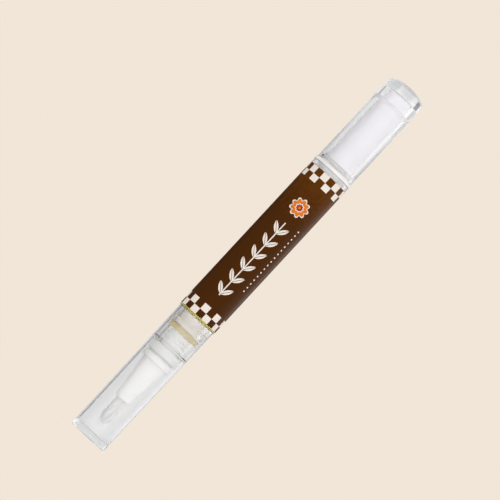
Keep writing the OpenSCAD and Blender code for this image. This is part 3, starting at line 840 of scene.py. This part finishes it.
tuft.select_set(False)
bristle_grey = moulded(
    "bristle_grey", (0.88, 0.87, 0.865), rough=0.4, grain=0.5, relief=0.1,
    Transmission_Weight=0.05, IOR=1.45,
)
tuft.data.materials.append(bristle_grey)
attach(tuft, "barrel_body")
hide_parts("brush_bristles")

# Cap: a clear, slightly tapered cap with a thick flat end. It snaps over the
# neck's bead, and a fine bead inside it runs on the end of the neck.

cap_low, cap_rim, rim_r = span("cap")
end_r = 5.8
end_thick = 2
end_round = 0.5
rim_bore_r = 5.3
end_bore_r = 5.157
cap_bead_r = 5.03
cap_bead_z = neck_low + 0.55
cap_bead_half = 0.45
cap_bead_flat = 0.12


def cap_bore(z):
    """The radius of the cap's tapered bore at a height."""
    share = (z - end_thick) / (cap_rim - end_thick)
    return end_bore_r + (rim_bore_r - end_bore_r) * share


bead_low = cap_bead_z - cap_bead_half
bead_high = cap_bead_z + cap_bead_half
cap = turned("clear_cap_shell", [
    (0, cap_low), (end_r, cap_low, end_round), (rim_r, cap_rim, 0.02), (rim_bore_r, cap_rim, 0.02),
    (cap_bore(bead_high), bead_high, 0.3), (cap_bead_r, cap_bead_z + cap_bead_flat, 0.3),
    (cap_bead_r, cap_bead_z - cap_bead_flat, 0.3), (cap_bore(bead_low), bead_low, 0.3),
    (end_bore_r, end_thick, 0.25), (0, end_thick),
], steps=180)
clear_cap = moulded(
    "clear_cap", (0.985, 0.985, 0.985), rough=0.14, grain=12, relief=0.03,
    Transmission_Weight=1, IOR=1.49,
)
cap.data.materials.append(clear_cap)
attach(cap, "cap_body")
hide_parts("cap")

# Drive sleeve: the white lining of the knob. It carries the knob's turn down
# its tail to the lead screw, and the ratchet's spring sits under its web.

tail_low, sleeve_top, sleeve_r = span("drive_sleeve")
sleeve_bore_r = 3.78
liner_low = stub_top + seam
# Near its top the sleeve steps in, and the step is pressed a little way into the knob's cone
knob_bore_r = 4.55
step_low = sleeve_top - 4.4
step_high = sleeve_top - 3.3
step_in = 0.55
step_lip = 0.1
pressed = 0.02
top_low = sleeve_top - 0.8
top_round = 0.9
# The web joins the sleeve to its tail. The flats in the tail's bore don't show, so it is round here
web_low = span("ratchet_spring")[1] + seam
web_high = web_low + 1.2
tail_r = 3.02
tail_bore_r = 2.28
sleeve = turned("white_sleeve", [
    (tail_r, tail_low, 0.1), (tail_r, web_low), (sleeve_bore_r, web_low),
    (sleeve_bore_r, liner_low), (sleeve_r, liner_low, 0.03),
    (sleeve_r, step_low - step_lip, 0.02), (knob_bore_r + pressed, step_low, 0.02),
    (knob_bore_r + pressed - step_in, step_high, 0.02),
    (sleeve_r - step_in, step_high + step_lip, 0.02), (sleeve_r - step_in, sleeve_top, top_round),
    (0, sleeve_top), (0, top_low), (sleeve_bore_r - step_in, top_low, 0.1),
    (sleeve_bore_r - step_in, step_high, 0.2), (sleeve_bore_r, step_low, 0.2),
    (sleeve_bore_r, web_high), (tail_bore_r, web_high), (tail_bore_r, tail_low, 0.1),
])
# The step is pressed against the clear knob. Its white is painted a little lighter than the rest of
# the sleeve, painted light that evens out the shade on the step
for name, whiteness in ("sleeve_white", 0.8), ("step_painted_light_white", 0.9):
    paint = moulded(
        name, (whiteness, whiteness * 0.97, whiteness), rough=0.4, grain=4, relief=0.1,
        **glowing_white,
    )
    sleeve.data.materials.append(paint)
for face in sleeve.data.polygons:
    if step_low < face.center.z / mm < step_high:
        face.material_index = 1
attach(sleeve, "knob_body")
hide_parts("drive_sleeve")

# Knob: a thick clear shell with a solid domed end. A groove near its mouth
# snaps over the collar's bead, and a cone inside fits the sleeve's step.

# The dome is one wide arc, and a smaller arc joins it to the knob's side
corner_r = 1.7
dome_r = 14
corner_out = knob_r - corner_r
corner_up = math.sqrt((dome_r - corner_r) ** 2 - corner_out ** 2)
dome_z = knob_top - dome_r
join = math.atan2(corner_up, corner_out)


def arc_points(out, up, r, start, end, steps):
    """Points (radius, height) on an arc about a centre, from one angle to another."""
    angles = [start + (end - start) * k / steps for k in range(steps + 1)]
    return [(out + r * math.cos(angle), up + r * math.sin(angle)) for angle in angles]


corner_z = dome_z + corner_up
corner_arc = arc_points(corner_out, corner_z, corner_r, start=0, end=join, steps=8)
dome_arc = arc_points(0, dome_z, dome_r, start=join, end=math.pi / 2, steps=12)[1:]
cavity_top = sleeve_top + seam
# The groove is wider and deeper than the collar's bead, so that the knob can turn on it
groove_r = snap_r + 0.08
groove_high = snap_high + seam
groove_lip = 0.1
knob = turned("clear_knob_shell", [
    (knob_bore_r, knob_low, 0.02), (knob_r, knob_low, 0.04), *corner_arc, *dome_arc,
    (0, cavity_top), (knob_bore_r - step_in, cavity_top, 0.25),
    (knob_bore_r - step_in, step_high, 0.02), (knob_bore_r, step_low, 0.02),
    (knob_bore_r, groove_high + groove_lip, 0.03), (groove_r, groove_high, 0.03),
    (groove_r, snap_low, 0.03), (knob_bore_r, snap_low - groove_lip, 0.03),
], steps=180)
clear_knob = moulded(
    "clear_knob", (0.985, 0.985, 0.99), rough=0.14, grain=9, relief=0.03,
    Transmission_Weight=1, IOR=1.5,
)
knob.data.materials.append(clear_knob)
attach(knob, "knob_body")
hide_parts("knob_shell")

# Hidden drive: the CAD's own piston, insert, screw, nut and spring keep their
# meshes and get the finish of moulded acetal or soft rubber.

acetal = moulded("acetal_white", (0.92, 0.92, 0.90), rough=0.35, grain=1.5, relief=0.15)
rubber = moulded("seal_white", (0.80, 0.80, 0.79), rough=0.55, grain=0.8, relief=0.25)
for node, paint in (
    ("piston", rubber), ("piston_core", acetal), ("lead_screw", acetal),
    ("screw_nut", acetal), ("ratchet_spring", acetal),
):
    for seat in frame["nodes"][node].material_slots:
        seat.material = paint
